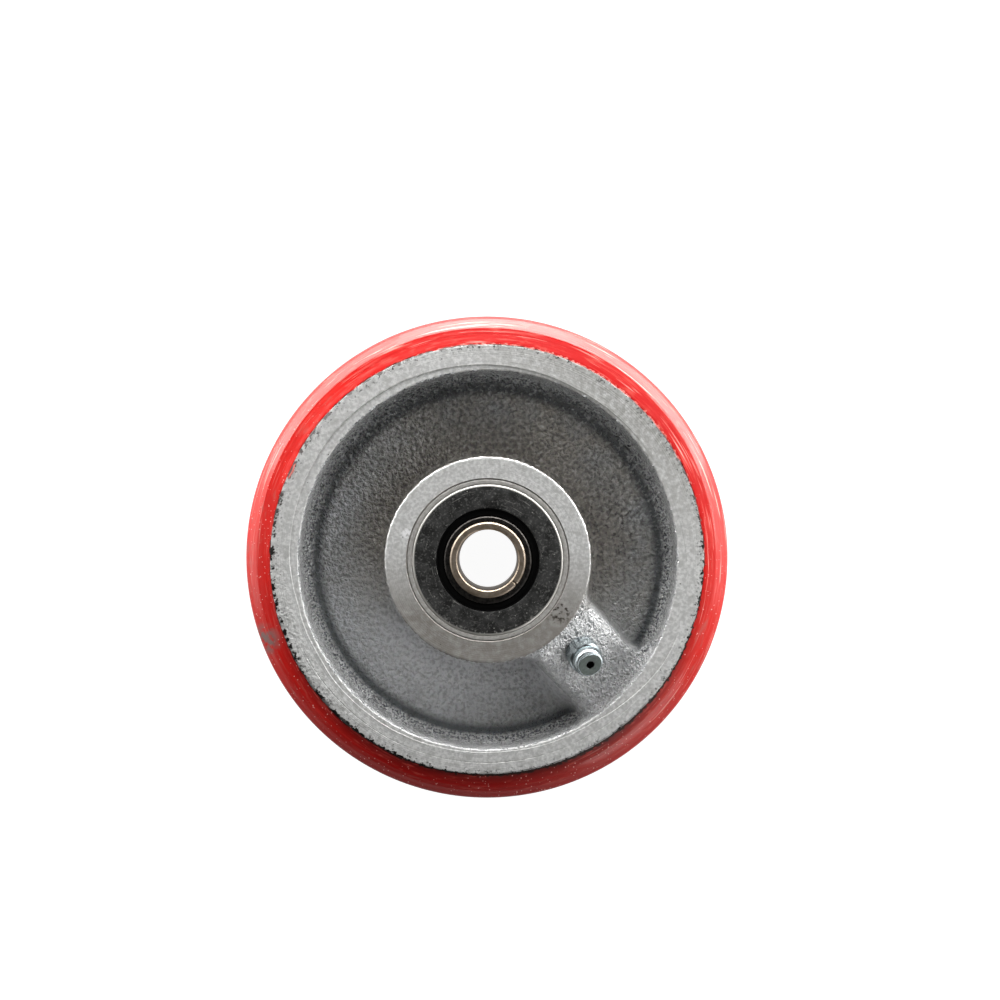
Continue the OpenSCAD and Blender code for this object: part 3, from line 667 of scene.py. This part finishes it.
def painted_casting():
    """Aluminium paint brushed on sand-cast iron: a softly metallic orange peel of worm-like grains,
    warm at the upper right, with painted shade there and above the hub, paler below the hub as
    painted light, painted shade where the floor turns up into the rim, painted glints on the rim's
    wall, painted light that makes the grease boss brightest, and painted highlights on the upper grains."""
    material, tree, shader, place = new_material("aluminium_paint_on_cast_iron", 0.5, 0.4)
    radius = axle_distance(tree, place)
    grains = add_node(tree, "TexNoise", {"Vector": place, "Scale": 1 / (1.2 * MM), "Detail": 2.0,
                                         "Roughness": 0.55, "Distortion": 0.4})
    skin = add_node(tree, "TexNoise", {"Vector": place, "Scale": 1 / (4.0 * MM), "Detail": 1.0})
    across = both(tree, slope_zone(tree, place, 45, -15.5, -12), slope_zone(tree, place, -135, -14.5, -11.5))
    along = both(tree, slope_zone(tree, place, -45, 32.5, 34), slope_zone(tree, place, 135, -61.0, -59.0))
    level = add_node(tree, "SeparateXYZ", {"Vector": place}, "Z")
    raised = add_node(tree, "MapRange", {"Value": level, "From Min": 0.0075, "From Max": 0.0095})
    boss = both(tree, both(tree, across, along), raised)
    wall = ring_zone(tree, radius, 55.6, 57.0)
    fillet_shade = ring_zone(tree, radius, 52.0, 54.4)
    # Warm tint at the upper right, partly real colour, partly painted shade
    warm = both(tree, slope_zone(tree, place, 60, -10, 45), blotches(tree, place, 12.0, 0.3, 0.6))
    paint = tinted(tree, blotches(tree, place, 18.0, 0.4, 0.62), srgb("#D2D4D6"), srgb("#C2C3C3"))
    # Painted light: the floor of the recess is paler below the hub
    painted_light_below_hub = both(tree, slope_zone(tree, place, -90, 8, 38), ring_zone(tree, radius, 52, 40))
    paint = tinted(tree, painted_light_below_hub, paint, srgb("#F4F5F6"))
    paint = tinted(tree, warm, paint, srgb("#CBC6BE"))
    # Painted shade on the floor above the hub
    painted_shade_above_hub = both(tree, slope_zone(tree, place, 90, -22, 6), ring_zone(tree, radius, 48, 36))
    paint = tinted(tree, painted_shade_above_hub, paint, srgb("#B6B0A8"))
    flecks = local_zone(tree, place, (37.0, 8.0, 6.0), 20.0)
    flecks = both(tree, flecks, blotches(tree, place, 1.3, 0.52, 0.68))
    paint = tinted(tree, flecks, paint, srgb("#6E6B68"))
    # Painted shade where the floor turns up into the rim
    paint = tinted(tree, fillet_shade, paint, srgb("#6C7072"))
    fine = add_node(tree, "TexNoise", {"Vector": place, "Scale": 1 / (0.7 * MM), "Detail": 0.5})
    # Painted glints on the rim's wall: white on its lower side and towards its outer edge, with painted
    # shade on the inner part of its upper side
    lit = slope_zone(tree, place, -85, -48, 24)
    outer = ring_zone(tree, radius, 56.4, 59.2)
    shade = tinted(tree, lit, tinted(tree, outer, srgb("#5E6264"), srgb("#A9ADAF")), srgb("#A2A5A7"))
    glint_colour = tinted(tree, lit, tinted(tree, outer, srgb("#868A8C"), srgb("#F2F4F6")), srgb("#FFFFFF"))
    glint = add_node(tree, "MapRange", {"Value": fine, "From Min": 0.4, "From Max": 0.52})
    glint = tinted(tree, glint, shade, glint_colour)
    # Painted highlight: the wall's outer edge is white on the lower side
    lip = both(tree, lit, ring_zone(tree, radius, 57.8, 59.6))
    paint = tinted(tree, wall, paint, tinted(tree, lip, glint, srgb("#FFFFFF")))
    # Painted light: the grease boss is white
    paint = tinted(tree, boss, paint, srgb("#FFFFFF"))
    bright = either(tree, boss, wall)
    upper = slope_zone(tree, place, 90, -25, 25)
    # Painted highlights on the grain crests of the upper side
    crest_highlight = add_node(tree, "MapRange", {"Value": grains, "From Min": 0.54, "From Max": 0.68, "To Max": 0.4})
    paint = tinted(tree, both(tree, crest_highlight, upper), paint, srgb("#FFFFFF"))
    deepest = add_node(tree, "MapRange", {"Value": bright, "To Min": 0.38, "To Max": 0.2})
    # Painted shade: the pits darken more on the upper side
    deepest = add_node(tree, "Math", {0: upper, 1: 0.25, 2: deepest}, operation="MULTIPLY_ADD")
    pits = add_node(tree, "MapRange", {"Value": grains, "From Min": 0.56, "From Max": 0.36,
                                       "To Max": deepest})
    paint = tinted(tree, pits, paint, srgb("#737270"))
    tree.links.new(paint, shader.inputs["Base Color"])
    metal = add_node(tree, "MapRange", {"Value": bright, "To Min": 0.5, "To Max": 0.2})
    tree.links.new(metal, shader.inputs["Metallic"])
    gloss = add_node(tree, "MapRange", {"Value": bright, "To Min": 0.4, "To Max": 0.24})
    tree.links.new(gloss, shader.inputs["Roughness"])
    wall_grain, boss_grain = both(tree, fine, wall), both(tree, fine, boss)
    relief(tree, shader, (skin, 1.2), (grains, 3.0), (wall_grain, 1.6), (boss_grain, 0.6))
    return material


def painted_turned_face():
    """Aluminium paint on faced iron: paler and smoother, with lathe lines, a rough patch where the
    tool chattered, pits and ragged paint along the bond line painted as a shadow below and a highlight
    above, chips round the hub's edge painted white above as a highlight, a burr painted white as its
    highlight, and the hub's face darker and mottled towards the bottom."""
    material, tree, shader, place = new_material("aluminium_paint_on_turned_iron", 0.45, 0.42)
    radius = axle_distance(tree, place)
    lines = lathe_lines(tree, radius, 0.45)
    grain = add_node(tree, "TexNoise", {"Vector": place, "Scale": 1 / (0.55 * MM), "Detail": 3.0})
    paint = tinted(tree, blotches(tree, place, 1.0, 0.4, 0.62), srgb("#C8C8C6"), srgb("#E4E4E2"))
    paint = tinted(tree, blotches(tree, place, 2.5, 0.52, 0.74), paint, srgb("#BDBDBA"))
    dull = both(tree, slope_zone(tree, place, 48, 42, 64), ring_zone(tree, radius, 55, 57))
    dull = both(tree, dull, blotches(tree, place, 1.6, 0.3, 0.62))
    paint = tinted(tree, dull, paint, srgb("#ABAAA6"))
    # The hub's face turns darker and mottled towards the bottom
    hub_darker_below = both(tree, slope_zone(tree, place, -90, -4, 18), ring_zone(tree, radius, 36, 34))
    mottle = add_node(tree, "MapRange", {"Value": blotches(tree, place, 2.2, 0.35, 0.6), "To Min": 0.75})
    hub_darkened = tinted(tree, both(tree, hub_darker_below, mottle), paint, srgb("#8F8B85"))
    spots = local_zone(tree, place, (22.4, -16.0, 30.1), 5.0)
    spots = both(tree, spots, blotches(tree, place, 1.1, 0.5, 0.6))
    rusty = tinted(tree, spots, hub_darkened, srgb("#3E3833"))
    rusty = tinted(tree, specks(tree, place, 3.0, 0.5, 0.35), rusty, srgb("#5A5753"))
    # A burr by the seal, painted white as its highlight
    burr_highlight = both(tree, local_zone(tree, place, (-25.4, 8.3, 30.1), 2.4), blotches(tree, place, 0.8, 0.4, 0.5))
    rusty = tinted(tree, burr_highlight, rusty, srgb("#FFFFFF"))
    pits = both(tree, ring_zone(tree, radius, 65.0, 67.2), blotches(tree, place, 0.9, 0.58, 0.66))
    pitted = tinted(tree, pits, rusty, srgb("#2E2F2C"))
    # Ragged bond edge: painted shadow below, painted highlight above
    bond_shadow_and_highlight = tinted(tree, slope_zone(tree, place, 90, 0, 50), srgb("#14100E"), srgb("#8B8280"))
    bond_bites_and_shadow = either(tree, slope_zone(tree, place, -90, 10, 55), blotches(tree, place, 2.6, 0.46, 0.52))
    bond_bites_and_shadow = both(tree, bond_bites_and_shadow, ragged_zone(tree, place, radius, 66.1, 3.0, 1.0))
    edged = tinted(tree, bond_bites_and_shadow, pitted, bond_shadow_and_highlight)
    # Chips round the hub's edge: pale bare metal, painted white above as a highlight
    chips = both(tree, ring_zone(tree, radius, 34, 33), ragged_zone(tree, place, radius, 31.5, 2.0, 0.9))
    chips_with_highlight = tinted(tree, slope_zone(tree, place, 90, -25, 5), srgb("#A8A6A1"), srgb("#FFFFFF"))
    edged = tinted(tree, chips, edged, chips_with_highlight)
    tree.links.new(edged, shader.inputs["Base Color"])
    chatter = local_zone(tree, place, (-58.0, -32.0, 25.0), 42.0)
    chatter = both(tree, chatter, ring_zone(tree, radius, 62.5, 64.0))
    rough = add_node(tree, "TexNoise", {"Vector": place, "Scale": 1 / (1.2 * MM), "Detail": 2.0})
    relief(tree, shader, (both(tree, rough, chatter), 0.4), (lines, 0.06), (grain, 0.07))
    return material


def plain_steel(name, colour, other, roughness, grain_mm, lines_mm=None, metallic=1.0):
    """Bare, plated or blackened steel: two close tones in blotches, and lathe lines if turned."""
    material, tree, shader, place = new_material(name, metallic, roughness)
    tone = tinted(tree, blotches(tree, place, grain_mm, 0.35, 0.65), srgb(colour), srgb(other))
    tree.links.new(tone, shader.inputs["Base Color"])
    fine = add_node(tree, "TexNoise", {"Vector": place, "Scale": 1 / (grain_mm * 0.4 * MM), "Detail": 3.0})
    layers = [(fine, 0.012)]
    if lines_mm:
        layers.append((lathe_lines(tree, axle_distance(tree, place), lines_mm), 0.01))
    relief(tree, shader, *layers)
    return material


def phosphated_plate():
    """Pressed steel, black phosphated and oiled: dark and faintly cloudy, with grit, fine
    scratches, bright chips along its lower edge and bare metal on its rolled shoulder."""
    material, tree, shader, place = new_material("black_phosphated_steel", 0.7, 0.42)
    cloud = tinted(tree, blotches(tree, place, 3.5, 0.35, 0.65), srgb("#2C2C2B"), srgb("#4E4E4D"))
    cloud = tinted(tree, blotches(tree, place, 0.6, 0.54, 0.8, 2.0), cloud, srgb("#858582"))
    radius = axle_distance(tree, place)
    height = add_node(tree, "SeparateXYZ", {"Vector": place}, "Y")
    low = add_node(tree, "MapRange", {"Value": height, "From Min": -0.012, "From Max": -0.02})
    edge = both(tree, low, ring_zone(tree, radius, 21.8, 23.2))
    chips = both(tree, edge, blotches(tree, place, 0.9, 0.56, 0.62))
    grit = either(tree, blotches(tree, place, 0.5, 0.7, 0.76), specks(tree, place, 1.7, 0.4, 0.3))
    hairs = add_node(tree, "MapRange", {"Value": ring_streaks(tree, place, radius, 0.3, 26),
                                        "From Min": 0.66, "From Max": 0.72, "To Max": 0.5})
    shoulder = ring_zone(tree, radius, 22.9, 23.2)
    marks = either(tree, either(tree, chips, grit), either(tree, hairs, shoulder))
    tree.links.new(tinted(tree, marks, cloud, srgb("#C9C7C1")), shader.inputs["Base Color"])
    fine = add_node(tree, "TexNoise", {"Vector": place, "Scale": 1 / (0.8 * MM), "Detail": 3.0})
    relief(tree, shader, (fine, 0.03))
    return material


def moulded_rubber():
    """Nitrile rubber, moulded: nearly black and matt."""
    material, tree, shader, place = new_material("moulded_nitrile_rubber", 0.0, 0.6)
    tone = tinted(tree, blotches(tree, place, 0.8, 0.4, 0.7), srgb("#050505"), srgb("#090808"))
    tree.links.new(tone, shader.inputs["Base Color"])
    shader.inputs["Specular IOR Level"].default_value = 0.1
    fine = add_node(tree, "TexNoise", {"Vector": place, "Scale": 1 / (0.4 * MM), "Detail": 2.0})
    relief(tree, shader, (fine, 0.02))
    return material


def studio_floor():
    """Matt grey board that the camera and glass see white, and shiny parts see as a painted reflection,
    white towards the top and dim towards the bottom: it throws little light back at the tread, and
    it keeps the soft shadow under the wheel."""
    material, tree, shader, place = new_material("matt_studio_board", 0.0, 0.9)
    shader.inputs["Base Color"].default_value = srgb("#8C8C8C")
    seen = tree.nodes.new("ShaderNodeLightPath").outputs
    clear = either(tree, seen["Is Camera Ray"], seen["Is Transmission Ray"])
    # Painted reflection: shiny parts see the board bright towards the top and dim towards the bottom
    far = add_node(tree, "MapRange", {"Value": add_node(tree, "SeparateXYZ", {"Vector": place}, "Y"),
                                      "From Min": -0.06, "From Max": 0.1, "To Min": 0.15})
    painted_floor_reflection = both(tree, seen["Is Glossy Ray"], far)
    shader.inputs["Emission Color"].default_value = (0.95, 0.95, 0.95, 1)
    tree.links.new(either(tree, clear, painted_floor_reflection), shader.inputs["Emission Strength"])
    return material


# Studio

def softbox(name, turn, lift, reach, size, radiance):
    """Rectangular lamp that looks at the wheel from a compass turn and a lift in degrees."""
    lamp = bpy.data.lights.new(name, "AREA")
    lamp.shape = "RECTANGLE"
    lamp.size, lamp.size_y = size[0] * MM, size[1] * MM
    lamp.energy = math.pi * lamp.size * lamp.size_y * radiance
    holder = bpy.data.objects.new(name, lamp)
    turn, lift = math.radians(turn), math.radians(lift)
    holder.location = Vector((math.cos(turn) * math.cos(lift), math.sin(turn) * math.cos(lift),
                              math.sin(lift))) * reach * MM
    holder.rotation_euler = (-holder.location).to_track_quat("-Z", "Y").to_euler()
    bpy.context.collection.objects.link(holder)


def studio_world():
    """Room round the board: white down to the horizon and just over it, nearly dark above."""
    world = bpy.data.worlds.new("studio_room")
    world.use_nodes = True
    tree = world.node_tree
    way = add_node(tree, "TexCoord", {}, "Generated")
    level = add_node(tree, "SeparateXYZ", {"Vector": way}, "Z")
    room = add_node(tree, "MapRange", {"Value": level, "From Min": 0.12, "From Max": 0.05,
                                       "To Min": 0.04, "To Max": 1.0})
    background = tree.nodes["Background"]
    tree.links.new(room, background.inputs["Strength"])
    background.inputs["Color"].default_value = (1, 1, 1, 1)
    return world


def board():
    """Board under the wheel, level with the end of the sleeve that it stands on."""
    bm = bmesh.new()
    bmesh.ops.create_grid(bm, x_segments=8, y_segments=8, size=3.0)
    bmesh.ops.translate(bm, verts=bm.verts[:], vec=(0, 0, -SLEEVE_Z * MM))
    mesh = bpy.data.meshes.new("studio_floor")
    bm.to_mesh(mesh)
    bm.free()
    mesh.materials.append(studio_floor())
    floor = bpy.data.objects.new("studio_floor", mesh)
    bpy.context.collection.objects.link(floor)


def lamps():
    """Panels in three rings, the brightest beyond the top of the wheel, one low panel that faces
    the boss and a narrow strip for the streak on the right shoulder. A panel is a lift, a reach and
    a size, and each row of the rig holds radiances by compass turn."""
    panels = {"low": (12, 450, (365, 190)), "middle": (34, 480, (320, 28)), "high": (60, 520, (190, 220))}
    rig = {"low": {10: 2.0, 45: 10.8, 90: 14.0, 135: 7.5, 171: 2.0},
           "middle": {0: 7.0, 45: 6.0, 90: 8.0, 135: 10.0},
           "high": {-45: 0.8, 90: 0.5, 180: 0.6}}
    for height, row in rig.items():
        lift, reach, size = panels[height]
        for turn, radiance in row.items():
            softbox(f"{height}_panel_{turn}", turn, lift, reach, size, radiance)
    softbox("boss_panel", -48, 25, 450, (240, 190), 2.9)
    softbox("right_strip", 14, 22, 450, (190, 16), 26.0)


def photo_camera():
    """Camera over the wheel, framed as the photograph is."""
    camera = bpy.data.cameras.new("photo_camera")
    camera.sensor_width = 36
    camera.lens = LENS_MM
    camera.shift_x, camera.shift_y = FRAME_SHIFT
    camera.clip_start = 0.01
    camera.clip_end = 20
    holder = bpy.data.objects.new("photo_camera", camera)
    holder.location = Vector(CAMERA_AT) * MM
    bpy.context.collection.objects.link(holder)
    bpy.context.scene.camera = holder


# Build

def dress_cad_nodes(nodes, finishes):
    """Gives each CAD node that stays its own finish, by a word in its name."""
    for name, piece in nodes.items():
        for word, material in finishes.items():
            if word in name:
                piece.data.materials.clear()
                piece.data.materials.append(material)
                break


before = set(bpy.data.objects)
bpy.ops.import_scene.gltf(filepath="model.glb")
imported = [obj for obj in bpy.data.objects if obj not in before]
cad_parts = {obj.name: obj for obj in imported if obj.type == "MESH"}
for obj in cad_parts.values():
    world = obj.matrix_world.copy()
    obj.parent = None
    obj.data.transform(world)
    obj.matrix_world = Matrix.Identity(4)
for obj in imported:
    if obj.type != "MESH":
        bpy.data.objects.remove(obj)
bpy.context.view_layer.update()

# Bored iron: dark grey and dry, with fine tool lines
bare_iron = plain_steel("bored_cast_iron", "#77736F", "#8B8782", 0.4, 1.5, 0.3)
# Ground tube that handling and grease have browned: soft warm highlights
sleeve_steel = plain_steel("ground_sleeve_steel", "#AFA192", "#948675", 0.42, 1.6, 0.25)
# Turned and blackened ring: nearly black, with a low sheen on its chamfer
spacer_steel = plain_steel("blackened_spacer_steel", "#2E2C2B", "#4A4744", 0.36, 0.8, 0.3)
# Drawn ring under a thin dull skin: pale grey satin
case_steel = plain_steel("drawn_case_steel", "#BFBDB9", "#A5A29D", 0.45, 1.2, metallic=0.5)
# Ground races and rollers: bright, nearly mirrors
race_steel = plain_steel("ground_bearing_steel", "#C9C9C6", "#BDBDBA", 0.15, 2.0, 0.2)
# Pressed sheet: plain grey, duller than the rollers it holds
cage_steel = plain_steel("pressed_cage_steel", "#9A9996", "#86857F", 0.35, 1.5)
# Steel under old grease, for the fitting's inlet and check ball: black with hardly a highlight, partly
# painted shade inside the hole
greased_shaded_steel = plain_steel("greased_shaded_steel", "#141312", "#1D1B19", 0.5, 0.8)
# Bright zinc: cold bluish white with sharp highlights
zinc = plain_steel("bright_zinc_plate", "#C3CBCD", "#A9B3B6", 0.22, 1.0)
# Zinc that grease nozzles have rubbed off: flat grey green
worn_zinc = plain_steel("worn_zinc_plate", "#565C59", "#4C524F", 0.45, 0.8)
# Drawn wire: smooth and bright
wire_steel = plain_steel("drawn_spring_wire", "#B0AEAA", "#9E9C98", 0.25, 0.4)
rubber = moulded_rubber()
black_steel = phosphated_plate()

tread_piece(cast_polyurethane())
core_piece(painted_casting(), painted_turned_face(), bare_iron)
sleeve_piece(sleeve_steel)
end_parts = [("spacer", spacer_form, "axle_set", spacer_steel),
             ("seal_case", seal_case_form, "wheel", case_steel),
             ("seal_plate", seal_plate_form, "wheel", black_steel),
             ("seal_lip", seal_lip_form, "wheel", rubber)]
for side in ("front", "rear"):
    for part, form, body, finish in end_parts:
        bm = form()
        if side == "rear":
            turn_over(bm)
        as_piece(bm, f"{side}_{part}_skin", body, f"{side}_{part}", [finish])
fitting_piece(zinc, worn_zinc, greased_shaded_steel)
dress_cad_nodes(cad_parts, {"cage": cage_steel, "spring": wire_steel, "bearing": race_steel,
                                 "roller": race_steel, "ball": greased_shaded_steel})

board()
lamps()
photo_camera()
bpy.context.scene.world = studio_world()
bpy.context.scene.view_settings.view_transform = "Standard"
